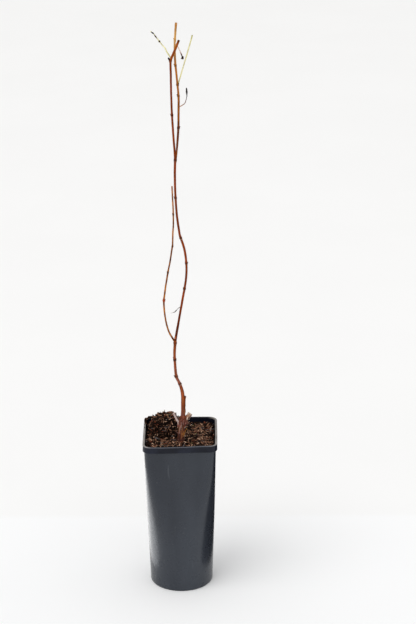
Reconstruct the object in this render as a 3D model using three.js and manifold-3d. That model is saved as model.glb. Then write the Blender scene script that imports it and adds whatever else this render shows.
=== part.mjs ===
// A young grapevine in winter, leafless, in a deep nursery pot that is square at its rim and round at
// its base. Units are millimetres, +Z is up, the origin is the middle of the pot's flat underside, and
// the vine leans and winds as it grew up a single stake that is not part of it.

import * as THREE from 'three';
import { mergeVertices } from 'three/addons/utils/BufferGeometryUtils.js';
import Module from 'manifold-3d';

const wasm = await Module();
wasm.setup();

// ---------------------------------------------------------------- driving dimensions

const GAP = 0.3; // clearance between touching pieces

// pot
const POT_HEIGHT = 230;
const RIM_WIDTH = 104; // square rim, outside
const RIM_CORNER = 11;
const BAND_HEIGHT = 9.5; // turned-down band under the lip
const LIP_WIDTH = 3;
const NECK_WIDTH = 100; // body just under the band
const NECK_CORNER = 9.5;
const BASE_WIDTH = 89; // round
const BASE_BEVEL = 2;
const WALL = 1.4;
const FLOOR = 2.4;
const ROUND_UNTIL = 30; // the section is still a circle at this height
const DRAIN_HOLES = 6;
const DRAIN_RADIUS = 4.5;
const DRAIN_CIRCLE = 29;

// potting soil
const SOIL_LEVEL = 222;
const HEAP_HEIGHT = 21.3; // a flat-topped heap at the left and back
const TREAD_RADIUS = 9; // level ground round the vine's foot

// Joints of the vine, where one limb ends and the next begins.
const JOINT = {
  foot: [1, -17, SOIL_LEVEL - 2], // the limb is cut level at the soil
  head: [5, -13, 260],
  spur: [5.2, -8.2, 285.5], // a pruned end, with the cane growing on from its side
  elbow: [-4.5, -3, 314.5],
  fork: [-5.6, 0, 366],
  bowNode: [-20.9, -4, 428.5],
  bowTie: [-7.3, -2.5, 507],
  bowEnd: [-7.4, -1, 590],
  climbTie: [7, 5, 437],
  crossing: [2, -8, 523.5],
  upperFork: [-2.5, -6.5, 628],
  leftNode: [-7.2, -6, 764],
  leftTip: [3.7, -14, 791.6],
  rightKnee: [-0.8, -3, 757],
  top: [0.3, 0, 812],
};

// Limbs: a limb runs from one place to another with a sideways bow at its middle, and its radii are
// spread evenly along it. Every limb is trimmed back from those in its clear list.
const LIMBS = [
  { name: 'trunk', from: JOINT.foot, to: JOINT.head, bow: [-0.9, 0, 0],
    radii: [6.2, 4.2, 3.9, 4.1, 4.5, 4.7, 3.9], sides: 14, bark: 'oldWood' },
  { name: 'pruned_stub_left', from: [0.2, -15.2, 247.5], to: [-8.2, -14, 264], bow: [-0.5, 0, 0],
    radii: [2.4, 1.9, 1.9], bark: 'oldWood', clear: ['trunk'] },
  { name: 'pruned_stub_right', from: [4.6, -13.5, 250.5], to: [14.3, -9.4, 261.5], bow: [0.4, 0, -0.8],
    radii: [2.9, 2.7, 2.5], bark: 'oldWood', clear: ['trunk'] },
  { name: 'main_cane_base', from: JOINT.head, to: JOINT.spur, bow: [-0.2, 0, 0],
    radii: [3.1, 2.9, 2.8], bark: 'redBark', clear: ['trunk', 'pruned_stub_right'] },
  { name: 'main_cane_lower', from: JOINT.spur, to: JOINT.elbow, bow: [1.4, 0, 0],
    radii: [2.5, 2.2, 1.9, 1.9], bark: 'redBark', clear: ['main_cane_base'] },
  { name: 'main_cane_upper', from: JOINT.elbow, to: JOINT.fork, bow: [-1.5, 0, 0],
    radii: [1.9, 1.7, 1.7, 1.9], bark: 'redBark', clear: ['main_cane_lower'] },
  { name: 'climbing_cane_lower', from: JOINT.fork, to: JOINT.climbTie, bow: [0, 5.3, 0],
    radii: [1.8, 1.5, 1.45, 1.45], bark: 'redBark', clear: ['main_cane_upper'] },
  { name: 'climbing_cane_middle', from: JOINT.climbTie, to: JOINT.crossing, bow: [6.2, 3.7, 0],
    radii: [1.45, 1.5, 1.45], bark: 'redBark', clear: ['climbing_cane_lower'] },
  { name: 'climbing_cane_upper', from: JOINT.crossing, to: JOINT.upperFork, bow: [-2.5, -1.5, 0],
    radii: [1.45, 1.4, 1.6], bark: 'redBark', clear: ['climbing_cane_middle'] },
  { name: 'bowed_cane_lower', from: JOINT.fork, to: JOINT.bowNode, bow: [-3.1, 0, -8.9],
    radii: [1.3, 1, 0.95, 1], bark: 'redBark', clear: ['main_cane_upper', 'climbing_cane_lower'] },
  { name: 'bowed_cane_middle', from: JOINT.bowNode, to: JOINT.bowTie, bow: [0, 0, 0],
    radii: [1, 0.9, 0.9], bark: 'redBark', clear: ['bowed_cane_lower'] },
  { name: 'bowed_cane_end', from: JOINT.bowTie, to: JOINT.bowEnd, bow: [0.8, 0, 0],
    radii: [0.9, 0.85, 0.8], bark: 'redBark', clear: ['bowed_cane_middle'] },
  { name: 'left_leader', from: JOINT.upperFork, to: JOINT.leftNode, bow: [-2, 0, 0],
    radii: [1.5, 1.35, 1.3, 1.4], bark: 'redBark', clear: ['climbing_cane_upper'] },
  { name: 'left_leader_tip', from: JOINT.leftNode, to: JOINT.leftTip, bow: [0.3, 0, 0],
    radii: [1.4, 1.2, 1.2], bark: 'redBark', clear: ['left_leader'] },
  { name: 'right_leader', from: JOINT.upperFork, to: JOINT.rightKnee, bow: [4.2, 1, 0],
    radii: [1.5, 1.4, 1.35, 1.2], bark: 'tanBark', clear: ['climbing_cane_upper', 'left_leader'] },
  { name: 'right_leader_tip', from: JOINT.rightKnee, to: JOINT.top, bow: [-1.2, 0, 0],
    radii: [1.2, 1.1, 1.1, 1.25], bark: 'tanBark', clear: ['right_leader', 'left_leader_tip'] },
  { name: 'left_tendril', from: [-6.9, -5.2, 766], to: [-33.1, 4, 799.7], bow: [0, 0, 3],
    radii: [0.9, 0.8, 0.8, 0.6], sides: 6, bark: 'tendril', clear: ['left_leader', 'left_leader_tip'] },
  { name: 'right_tendril', from: [2.1, -3, 731], to: [21.4, 12, 792.7], bow: [0.2, 0, -0.5],
    radii: [0.9, 0.85, 0.8, 0.7], sides: 6, bark: 'tendril', clear: ['right_leader'] },
  { name: 'side_twig', from: [-0.9, -2.2, 786], to: [8.7, -2, 765.3], bow: [0.6, 0, 0.6],
    radii: [0.8, 0.7, 0.8, 1.3], sides: 6, bark: 'oldWood', clear: ['right_leader_tip'] },
];

// ---------------------------------------------------------------- materials

const finish = (color, roughness) => new THREE.MeshStandardMaterial({ color, roughness, metalness: 0 });

const MATERIAL = {
  pot: finish(0x3f434b, 0.45),
  soil: finish(0x44302a, 0.95),
  oldWood: finish(0x5e4038, 0.9),
  redBark: finish(0x7a3f22, 0.6),
  tanBark: finish(0xa86f45, 0.6),
  tendril: finish(0xb3a268, 0.7),
};

// ---------------------------------------------------------------- geometry helpers

const lerp = THREE.MathUtils.lerp;

// A closed loop of points round a square of the given half width with rounded corners; a corner
// radius equal to the half width makes it a circle.
function squareRing(half, corner, z, perCorner = 7) {
  const points = [];
  for (let quarter = 0; quarter < 4; quarter++) {
    const middle = ((quarter + 0.5) * Math.PI) / 2;
    const centreX = Math.sign(Math.cos(middle)) * (half - corner);
    const centreY = Math.sign(Math.sin(middle)) * (half - corner);
    for (let i = 0; i <= perCorner; i++) {
      const angle = ((quarter + i / perCorner) * Math.PI) / 2;
      const x = centreX + corner * Math.cos(angle);
      const y = centreY + corner * Math.sin(angle);
      points.push(new THREE.Vector3(x, y, z));
    }
  }
  return points;
}

// A closed solid through a stack of rings of equal count, with a fan of triangles over each end.
function loft(rings) {
  const count = rings[0].length;
  const middleOf = (ring) => ring.reduce((sum, p) => sum.add(p), new THREE.Vector3()).divideScalar(count);
  const points = [...rings.flat(), middleOf(rings[0]), middleOf(rings.at(-1))];
  const firstHub = points.length - 2;
  const lastHub = points.length - 1;
  const lastRing = (rings.length - 1) * count;
  const index = [];
  for (let i = 0; i < count; i++) {
    const next = (i + 1) % count;
    for (let row = 0; row < lastRing; row += count) {
      index.push(row + i, row + next, row + count + next, row + i, row + count + next, row + count + i);
    }
    index.push(firstHub, next, i, lastHub, lastRing + i, lastRing + next);
  }
  const geometry = new THREE.BufferGeometry();
  geometry.setAttribute('position', new THREE.Float32BufferAttribute(points.flatMap((p) => p.toArray()), 3));
  geometry.setIndex(index);
  return geometry;
}

function toSolid(geometry) {
  const bare = geometry.clone();
  bare.deleteAttribute('normal');
  bare.deleteAttribute('uv');
  const merged = mergeVertices(bare, 1e-4);
  return new wasm.Manifold(new wasm.Mesh({
    numProp: 3,
    vertProperties: new Float32Array(merged.attributes.position.array),
    triVerts: new Uint32Array(merged.index.array),
  }));
}

function toGeometry(solid) {
  const { vertProperties, triVerts } = solid.getMesh();
  const geometry = new THREE.BufferGeometry();
  geometry.setAttribute('position', new THREE.BufferAttribute(vertProperties, 3));
  geometry.setIndex(new THREE.BufferAttribute(triVerts, 1));
  return geometry;
}

const subtractAll = (solid, cutters) => cutters.reduce((rest, cutter) => rest.subtract(cutter), solid);

function part(name, geometry, material) {
  geometry.computeVertexNormals();
  const mesh = new THREE.Mesh(geometry, material);
  mesh.name = name;
  return mesh;
}

// ---------------------------------------------------------------- pot

// How far the body has turned from the round base, 0, to the square neck, 1.
const NECK_HEIGHT = POT_HEIGHT - BAND_HEIGHT;
const squareness = (z) => THREE.MathUtils.smoothstep(z, ROUND_UNTIL, NECK_HEIGHT);
const bodyHalf = (z) => lerp(BASE_WIDTH, NECK_WIDTH, z / NECK_HEIGHT) / 2;
const bodyCorner = (z) => lerp(bodyHalf(z), NECK_CORNER, squareness(z));

// A ring of the body, moved in from its outer face.
const bodyRing = (z, inset) => squareRing(bodyHalf(z) - inset, bodyCorner(z) - inset, z);

function makePot() {
  const bodyHeights = [BASE_BEVEL, ROUND_UNTIL, 65, 100, 135, 170, 200, NECK_HEIGHT];
  const outside = bodyHeights.map((z) => bodyRing(z, 0));
  const sole = squareRing(BASE_WIDTH / 2 - BASE_BEVEL, BASE_WIDTH / 2 - BASE_BEVEL, 0);
  const rim = RIM_WIDTH / 2;
  const band = [
    squareRing(rim - 0.4, RIM_CORNER - 0.4, NECK_HEIGHT),
    squareRing(rim, RIM_CORNER, POT_HEIGHT - 1),
    squareRing(rim - 0.8, RIM_CORNER - 0.8, POT_HEIGHT),
    squareRing(rim - LIP_WIDTH, RIM_CORNER - LIP_WIDTH, POT_HEIGHT),
  ];
  const inside = [FLOOR, ...bodyHeights.slice(1)].map((z) => bodyRing(z, WALL)).reverse();
  const shell = toSolid(loft([sole, ...outside, ...band, ...inside]));

  const drains = [];
  for (let i = 0; i < DRAIN_HOLES; i++) {
    const angle = (i / DRAIN_HOLES) * 2 * Math.PI;
    const drain = new THREE.CylinderGeometry(DRAIN_RADIUS, DRAIN_RADIUS, 4 * FLOOR, 16);
    drain.rotateX(Math.PI / 2);
    drain.translate(DRAIN_CIRCLE * Math.cos(angle), DRAIN_CIRCLE * Math.sin(angle), FLOOR / 2);
    drains.push(toSolid(drain));
  }
  return part('pot', toGeometry(subtractAll(shell, drains)), MATERIAL.pot);
}

// ---------------------------------------------------------------- potting soil

// Height of the soil: level, with a steep-sided heap at the left and back, and a trodden flat round the
// vine's foot.
function soilHeight(x, y) {
  const { smoothstep } = THREE.MathUtils;
  const atBack = smoothstep(y, 18, 42);
  const leftSide = smoothstep(x, -48 + 4 * atBack, -34 + 2 * atBack);
  const rightSide = 1 - smoothstep(x, -12, 9);
  const frontSide = smoothstep(y, -14, 22);
  const backSide = 1 - 0.62 * smoothstep(y, 33, 50);
  const heap = HEAP_HEIGHT * leftSide * rightSide * frontSide * backSide;
  const rough = heap + 1.2 * Math.sin(x / 9) * Math.cos(y / 11 + 1);
  const fromFoot = Math.hypot(x - JOINT.foot[0], y - JOINT.foot[1]);
  return SOIL_LEVEL + rough * THREE.MathUtils.smoothstep(fromFoot, TREAD_RADIUS, 2 * TREAD_RADIUS);
}

function makeSoil() {
  const inset = WALL + GAP;
  const cavityHeights = [FLOOR + GAP, ROUND_UNTIL, 65, 100, 135, 170, 200, NECK_HEIGHT];
  const openTop = squareRing(NECK_WIDTH / 2 - inset, NECK_CORNER - inset, 2 * POT_HEIGHT);
  const cavity = toSolid(loft([...cavityHeights.map((z) => bodyRing(z, inset)), openTop]));

  const cells = 22;
  const ground = new THREE.BoxGeometry(NECK_WIDTH, NECK_WIDTH, SOIL_LEVEL, cells, cells, 1);
  ground.translate(0, 0, SOIL_LEVEL / 2);
  const position = ground.attributes.position;
  for (let i = 0; i < position.count; i++) {
    if (position.getZ(i) > 0) position.setZ(i, soilHeight(position.getX(i), position.getY(i)));
  }
  const heaped = toSolid(ground).intersect(cavity);
  const tread = slabAt(SOIL_LEVEL, TREAD_RADIUS);
  return part('potting_soil', toGeometry(heaped.subtract(tread)), MATERIAL.soil);
}

// An upright disc round the vine's foot, from the given height up, or down where it is turned over.
function slabAt(height, radius, upwards = true) {
  const thickness = 20;
  const disc = new THREE.CylinderGeometry(radius, radius, thickness, 20);
  disc.rotateX(Math.PI / 2);
  disc.translate(JOINT.foot[0], JOINT.foot[1], height + (upwards ? thickness : -thickness) / 2);
  return toSolid(disc);
}

// ---------------------------------------------------------------- limbs

// A tapering limb with flat ends. The path is a straight line plus a parabola of the bow, which is
// what a bent cane follows closely enough; extra is added to every radius.
function limbGeometry({ from, to, bow, radii, sides = 10 }, extra = 0) {
  const start = new THREE.Vector3(...from);
  const end = new THREE.Vector3(...to);
  const side = new THREE.Vector3(...bow);
  const at = (t) => start.clone().lerp(end, t).addScaledVector(side, 4 * t * (1 - t));
  const steps = Math.max(radii.length * 2, Math.round(start.distanceTo(end) / 8));
  const rings = [];
  for (let i = 0; i <= steps; i++) {
    const t = i / steps;
    const along = end.clone().sub(start).addScaledVector(side, 4 - 8 * t).normalize();
    const across = new THREE.Vector3(0, 1, 0).cross(along).normalize();
    const out = along.clone().cross(across);
    const place = t * (radii.length - 1);
    const before = Math.min(Math.floor(place), radii.length - 2);
    const radius = lerp(radii[before], radii[before + 1], place - before) + extra;
    rings.push(Array.from({ length: sides }, (_, k) => {
      const angle = (k / sides) * 2 * Math.PI;
      const rimPoint = at(t).addScaledVector(across, radius * Math.cos(angle));
      return rimPoint.addScaledVector(out, radius * Math.sin(angle));
    }));
  }
  return loft(rings);
}

// The largest connected piece, so that a trimmed limb is one body.
function largest(solid) {
  return solid.decompose().reduce((best, piece) => (piece.volume() > best.volume() ? piece : best));
}

function makeLimb(limb) {
  const cutters = (limb.clear ?? []).map((name) => {
    const neighbour = LIMBS.find((other) => other.name === name);
    return toSolid(limbGeometry(neighbour, GAP)).add(capOf(neighbour));
  });
  if (limb.from === JOINT.foot) cutters.push(slabAt(SOIL_LEVEL + GAP, 3 * TREAD_RADIUS, false));
  const trimmed = largest(subtractAll(toSolid(limbGeometry(limb)), cutters));
  return part(limb.name, toGeometry(trimmed), MATERIAL[limb.bark]);
}

// A thin disc past a limb's far end, which keeps the next limb's face off it.
function capOf({ from, to, bow, radii }) {
  const end = new THREE.Vector3(...to);
  const along = end.clone().sub(new THREE.Vector3(...from)).addScaledVector(new THREE.Vector3(...bow), -4);
  along.normalize();
  const disc = new THREE.CylinderGeometry(radii.at(-1) + GAP, radii.at(-1) + GAP, 2 * GAP, 12);
  disc.applyQuaternion(new THREE.Quaternion().setFromUnitVectors(new THREE.Vector3(0, 1, 0), along));
  disc.translate(...end.toArray());
  return toSolid(disc);
}

// ---------------------------------------------------------------- assembly

const vine = new THREE.Group();
vine.add(makePot(), makeSoil(), ...LIMBS.map(makeLimb));

export default vine;
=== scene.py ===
"""A leafless young grapevine in a deep nursery pot: its looks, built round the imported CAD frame.

Lengths are metres, unless a comment says millimetres, in the frame's axes: +Z up, +X to the right,
+Y away from the front camera. The vine's limbs follow the centrelines of the CAD limbs, and the
soil follows the CAD soil.
"""

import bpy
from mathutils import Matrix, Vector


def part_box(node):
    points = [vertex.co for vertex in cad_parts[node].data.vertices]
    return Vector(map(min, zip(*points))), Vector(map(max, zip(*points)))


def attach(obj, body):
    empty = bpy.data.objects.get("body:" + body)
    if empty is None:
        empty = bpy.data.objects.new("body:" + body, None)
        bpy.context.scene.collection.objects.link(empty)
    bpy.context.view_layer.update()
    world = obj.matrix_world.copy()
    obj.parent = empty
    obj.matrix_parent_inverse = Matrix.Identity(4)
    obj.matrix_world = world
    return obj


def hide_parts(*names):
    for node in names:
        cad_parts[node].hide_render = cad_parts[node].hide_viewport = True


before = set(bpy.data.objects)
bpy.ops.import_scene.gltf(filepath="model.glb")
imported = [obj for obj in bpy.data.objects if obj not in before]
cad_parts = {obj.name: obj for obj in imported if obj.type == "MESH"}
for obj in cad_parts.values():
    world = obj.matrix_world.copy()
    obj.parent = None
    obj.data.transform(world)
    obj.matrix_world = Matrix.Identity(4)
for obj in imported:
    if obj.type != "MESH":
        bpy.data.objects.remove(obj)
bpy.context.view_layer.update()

import math

import bpy
import numpy as np
from mathutils import Matrix, Vector
from mathutils.bvhtree import BVHTree

MM = 0.001
RNG = np.random.default_rng(20)
SPLINE_STEPS = 24  # between two points of a curve, before it is stepped evenly

# ------------------------------------------------------------------ places taken from the frame

POT_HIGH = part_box("pot")[1]
SOIL_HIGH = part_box("potting_soil")[1]
RIM_TOP = POT_HIGH.z
RIM_HALF = POT_HIGH.x
TRUNK_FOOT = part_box("trunk")[0].z

# the pot's own measures, as in the CAD model
BAND_HEIGHT = 9.5 * MM
BAND_PROUD = 2 * MM
LIP_WIDTH = 3 * MM
RIM_CORNER = 11 * MM
NECK_HALF = RIM_HALF - BAND_PROUD
NECK_CORNER = 9.5 * MM
BASE_HALF = 44.5 * MM
WALL = 1.4 * MM
FLOOR_THICKNESS = 2.4 * MM
NECK_HEIGHT = RIM_TOP - BAND_HEIGHT
ROUND_UNTIL = 30 * MM


# ------------------------------------------------------------------ numbers: noise and curves


def lattice(cells, seed):
    """One fixed random value from -1 to 1 for each cell of whole-number coordinates."""
    c = cells.astype(np.int64).astype(np.uint32)
    h = c[:, 0] * np.uint32(374761393) + c[:, 1] * np.uint32(668265263) + c[:, 2] * np.uint32(2246822519)
    h += np.uint32(seed * 3266489 + 77)
    h = (h ^ (h >> np.uint32(13))) * np.uint32(1274126177)
    h ^= h >> np.uint32(16)
    return h.astype(np.float64) / 2147483647.5 - 1


def noise(points, size, seed=0):
    """Smooth random values from -1 to 1, with features about size across."""
    p = np.asarray(points, float) / size
    cell = np.floor(p)
    f = p - cell
    f = f * f * (3 - 2 * f)
    total = np.zeros(len(p))
    for corner in np.ndindex(2, 2, 2):
        weight = np.prod(np.where(corner, f, 1 - f), axis=1)
        total += weight * lattice(cell + corner, seed)
    return total


def fractal(points, size, octaves=3, seed=0):
    """Noise with finer, weaker noise on top of it."""
    total = np.zeros(len(points))
    for i in range(octaves):
        total += noise(points, size / 2 ** i, seed + i) / 2 ** i
    return total


def smoothstep(value, low, high):
    """0 below low, 1 above high, and a smooth rise between them."""
    t = np.clip((value - low) / (high - low), 0, 1)
    return t * t * (3 - 2 * t)


def full_turn(count):
    """Even angles all the way round."""
    return np.linspace(0, 2 * math.pi, count, endpoint=False)


def nearest(values, wanted):
    """The number of the value that lies nearest to the one wanted."""
    return int(np.argmin(np.abs(values - wanted)))


def spline(points, step):
    """Rows of points joined by a smooth curve, at even steps along it. The first three columns are
    the place, and any others, such as the radius, follow along."""
    p = np.asarray(points, float)
    p = np.vstack([2 * p[0] - p[1], p, 2 * p[-1] - p[-2]])
    dense = []
    for a, b, c, d in zip(p[:-3], p[1:-2], p[2:-1], p[3:]):
        for t in np.linspace(0, 1, SPLINE_STEPS, endpoint=False):
            dense.append(0.5 * (2 * b + (c - a) * t + (2 * a - 5 * b + 4 * c - d) * t ** 2
                                + (3 * b - a - 3 * c + d) * t ** 3))
    dense = np.array(dense + [p[-2]])
    along = np.r_[0, np.cumsum(np.linalg.norm(np.diff(dense[:, :3], axis=0), axis=1))]
    even = np.linspace(0, along[-1], max(2, int(round(along[-1] / step)) + 1))
    return np.column_stack([np.interp(even, along, dense[:, k]) for k in range(dense.shape[1])]), even


# ------------------------------------------------------------------ reading the CAD limbs


def node_mesh(name):
    """The places and the edges of a CAD node's mesh."""
    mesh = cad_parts[name].data
    places = np.empty(len(mesh.vertices) * 3)
    mesh.vertices.foreach_get("co", places)
    ends = np.empty(len(mesh.edges) * 2, int)
    mesh.edges.foreach_get("vertices", ends)
    return places.reshape(-1, 3), ends.reshape(-1, 2)


END_MARGIN = 2.5 * MM  # how far inside a limb's ends its first and last cross-sections are taken


def sections(name, count=6):
    """Centre and radius of even cross-sections of a CAD limb, from its lower end to its upper end."""
    places, ends = node_mesh(name)
    axis = np.linalg.svd(places - places.mean(0), full_matrices=False)[2][0]
    axis *= np.sign(axis[2])
    level = places @ axis
    rows = []
    for at in np.linspace(level.min() + END_MARGIN, level.max() - END_MARGIN, count):
        a, b = level[ends[:, 0]], level[ends[:, 1]]
        cut = (a - at) * (b - at) < 0
        share = ((at - a[cut]) / (b[cut] - a[cut]))[:, None]
        hits = places[ends[cut, 0]] * (1 - share) + places[ends[cut, 1]] * share
        centre = hits.mean(0)
        rows.append([*centre, np.linalg.norm(hits - centre, axis=1).mean()])
    return rows


def limb_path(*nodes, step, before, after=2.5, flip=False):
    """One even path, with radii, through CAD limbs that follow on from each other, run on a little
    at both ends. Lengths are in millimetres. Returns the rows and the distance along at each."""
    rows = [row for name in nodes for row in sections(name)]
    if flip:
        rows.reverse()
    rows = np.array(rows)
    first = rows[0, :3] - rows[1, :3]
    last = rows[-1, :3] - rows[-2, :3]
    head = rows[0].copy()
    tail = rows[-1].copy()
    head[:3] += first / np.linalg.norm(first) * (before * MM + END_MARGIN)
    tail[:3] += last / np.linalg.norm(last) * (after * MM)
    return spline([head, *rows, tail], step * MM)


# ------------------------------------------------------------------ materials


BLACK, WHITE = (0, 0, 0, 1), (1, 1, 1, 1)


def grey(level):
    return (level, level, level, 1)


def srgb(red, green, blue):
    """A colour as seen on a screen, from 0 to 255, as linear values."""
    out = []
    for value in (red, green, blue):
        v = value / 255
        out.append(v / 12.92 if v <= 0.04045 else ((v + 0.055) / 1.055) ** 2.4)
    return (*out, 1.0)


PAINT = "paint"
PLASTIC_GRAIN = 0.3 * MM


class Recipe:
    """A material under construction: short names for the few node kinds that this scene uses."""

    def __init__(self, name, roughness, specular=0.5):
        self.material = bpy.data.materials.new(name)
        self.material.use_nodes = True
        self.tree = self.material.node_tree
        self.shader = self.tree.nodes["Principled BSDF"]
        self.shader.inputs["Roughness"].default_value = roughness
        self.shader.inputs["Specular IOR Level"].default_value = specular
        self.place = self.tree.nodes.new("ShaderNodeTexCoord").outputs["Object"]

    def link(self, source, target):
        self.tree.links.new(source, target)

    def node(self, kind, target, source, values=()):
        """A new node, with a link into one of its inputs and plain values for others."""
        node = self.tree.nodes.new(kind)
        for name, value in dict(values).items():
            node.inputs[name].default_value = value
        self.link(source, node.inputs[target])
        return node

    def stretched(self, x, y, z):
        """The place, scaled along each axis."""
        return self.node("ShaderNodeMapping", "Vector", self.place, {"Scale": (x, y, z)}).outputs["Vector"]

    def axis(self, name):
        """One coordinate of the place: X, Y or Z."""
        return self.node("ShaderNodeSeparateXYZ", "Vector", self.place).outputs[name]

    def noise(self, scale, detail=4.0, rough=0.55, place=None):
        values = {"Scale": scale, "Detail": detail, "Roughness": rough}
        return self.node("ShaderNodeTexNoise", "Vector", place or self.place, values).outputs["Fac"]

    def specks(self, scale, size):
        """1 inside small round specks, 0 elsewhere."""
        node = self.node("ShaderNodeTexVoronoi", "Vector", self.place, {"Scale": scale})
        return self.ramp(node.outputs["Distance"], [(0.0, WHITE), (size, BLACK)])

    def ramp(self, source, stops, smooth=True):
        """Colours at stops along a value, each stop a (value, colour)."""
        node = self.node("ShaderNodeValToRGB", "Fac", source)
        ramp = node.color_ramp
        ramp.interpolation = "EASE" if smooth else "LINEAR"
        while len(ramp.elements) < len(stops):
            ramp.elements.new(0.5)
        for element, (position, colour) in zip(ramp.elements, stops):
            element.position = position
            element.color = colour
        return node.outputs["Color"]

    def feed(self, sockets, values):
        """Gives each socket its value, or a link where the value is another node's output."""
        for socket, value in zip(sockets, values):
            if isinstance(value, (int, float, tuple)):
                socket.default_value = value
            else:
                self.link(value, socket)

    def math(self, operation, a, b):
        node = self.tree.nodes.new("ShaderNodeMath")
        node.operation = operation
        self.feed(node.inputs, (a, b))
        return node.outputs["Value"]

    def mix(self, factor, a, b, blend="MIX"):
        node = self.tree.nodes.new("ShaderNodeMix")
        node.data_type = "RGBA"
        node.blend_type = blend
        colours = [s for s in node.inputs if s.type == "RGBA"]
        self.feed((node.inputs[0], colours[0], colours[1]), (factor, a, b))
        return [s for s in node.outputs if s.type == "RGBA"][0]

    def painted(self):
        """The colour given to each point of the mesh when it was made."""
        node = self.tree.nodes.new("ShaderNodeVertexColor")
        node.layer_name = PAINT
        return node.outputs["Color"]

    def colour(self, source):
        self.link(source, self.shader.inputs["Base Color"])

    def bump(self, source, strength, distance):
        node = self.node("ShaderNodeBump", "Height", source, {"Strength": strength, "Distance": distance})
        self.link(node.outputs["Normal"], self.shader.inputs["Normal"])

    def moulded(self, low, high, grain, strength):
        """The surface of moulded plastic: roughness that varies from low to high, and a fine grain."""
        node = self.node("ShaderNodeMapRange", "Value", self.noise(60, 4), {"To Min": low, "To Max": high})
        self.link(node.outputs["Result"], self.shader.inputs["Roughness"])
        self.bump(self.noise(grain, 3), strength, PLASTIC_GRAIN)


def pot_plastic():
    """Recycled black plastic: satin, filmed with dust, with a few specks and vertical scuffs."""
    r = Recipe("pot_plastic", 0.3)
    r.shader.inputs["Specular Tint"].default_value = (0.88, 0.94, 1.0, 1)
    darker_tone, filmed = srgb(26, 28, 36), srgb(48, 52, 60)
    flow = r.noise(14, 3, 0.5, r.stretched(1, 1, 0.35))
    film = r.ramp(flow, [(0.25, darker_tone), (0.75, filmed)])
    marks = r.mix(r.specks(95, 0.07), film, srgb(104, 106, 108))
    scuffs = r.ramp(r.noise(230, 2, 0.5, r.stretched(1, 1, 0.15)),
                    [(0.68, BLACK), (0.82, grey(0.5))])
    r.colour(r.mix(scuffs, marks, srgb(84, 87, 92)))
    r.moulded(0.22, 0.34, 900, 0.06)
    return r.material


def shaded_band_plastic():
    """The rim band: blue-black and darker than the body, as painted shade for its dimmer reflection,
    with a patchy pale line along its foot as a painted highlight on the bead.
    """
    r = Recipe("shaded_band_plastic", 0.34, 0.22)
    # darker than the body: painted shade for the band's dimmer reflection
    darker_tone = r.ramp(r.noise(45, 3), [(0.3, srgb(10, 13, 24)), (0.7, srgb(26, 30, 44))])
    # a pale, patchy line along the bead at the band's foot: a painted highlight
    foot = NECK_HEIGHT - 0.8 * MM
    edge = r.ramp(r.axis("Z"), [(foot, BLACK), (foot + 0.5 * MM, WHITE), (foot + 1.2 * MM, WHITE),
                                (foot + 1.8 * MM, BLACK)], False)
    bead_highlight = r.ramp(r.noise(38, 3), [(0.46, BLACK), (0.66, WHITE)])
    r.colour(r.mix(r.math("MULTIPLY", edge, bead_highlight), darker_tone, srgb(120, 122, 130)))
    r.moulded(0.28, 0.42, 700, 0.1)
    return r.material


def lip_highlight_plastic(name, dark, pale, start, full):
    """The rolled lip: blue-black at its middle, the black plastic darkened further as painted shade, and
    pale towards the pot's sides as a painted highlight, where start and full are the distances out at
    which the highlight sets in and is complete."""
    r = Recipe(name, 0.36, 0.3)
    # pale towards the sides: painted highlight; blue-black in the middle: painted shade
    side = r.ramp(r.math("ABSOLUTE", r.axis("X"), 0), [(start, BLACK), (full, WHITE)], False)
    bright = tuple(min(1, c * 1.7) for c in pale)
    painted_highlight = r.ramp(r.noise(70, 4, 0.6), [(0.3, pale), (0.65, bright)])
    r.colour(r.mix(side, dark, painted_highlight))
    r.moulded(0.3, 0.45, 700, 0.1)
    return r.material


def grainy(name, dark, light, scale=420, roughness=0.92, bump=0.5):
    """A plain earthy colour with fine grain, for crumbs, chips and fibres."""
    r = Recipe(name, roughness, 0.08)
    grain = r.noise(scale, 5, 0.6)
    r.colour(r.ramp(grain, [(0.3, dark), (0.72, light)]))
    r.bump(r.noise(scale * 2.5, 4), bump, 0.0004)
    return r.material


def bark(name, roughness, streak=1.0, bump=0.6, fine=1600):
    """Bark: the colour dealt out along the limb, streaked lengthwise and finely ribbed."""
    r = Recipe(name, roughness, 0.12)
    long_grain = r.stretched(1, 1, 0.08)
    streaks = r.ramp(r.noise(fine, 4, 0.6, long_grain),
                     [(0.25, grey(1 - 0.55 * streak)), (0.6, WHITE), (0.85, grey(1 + 0.25 * streak))])
    patches = r.ramp(r.noise(260, 3, 0.5, r.stretched(1, 1, 0.4)),
                     [(0.3, (0.72, 0.70, 0.72, 1)), (0.65, (1.06, 1.03, 1.0, 1))])
    r.colour(r.mix(1.0, r.mix(1.0, r.painted(), streaks, "MULTIPLY"), patches, "MULTIPLY"))
    r.bump(r.noise(fine, 5, 0.65, long_grain), bump, 0.0002)
    return r.material


# ------------------------------------------------------------------ making pieces


def new_object(name, data):
    """An object in the scene."""
    made = bpy.data.objects.new(name, data)
    bpy.context.scene.collection.objects.link(made)
    return made


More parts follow.
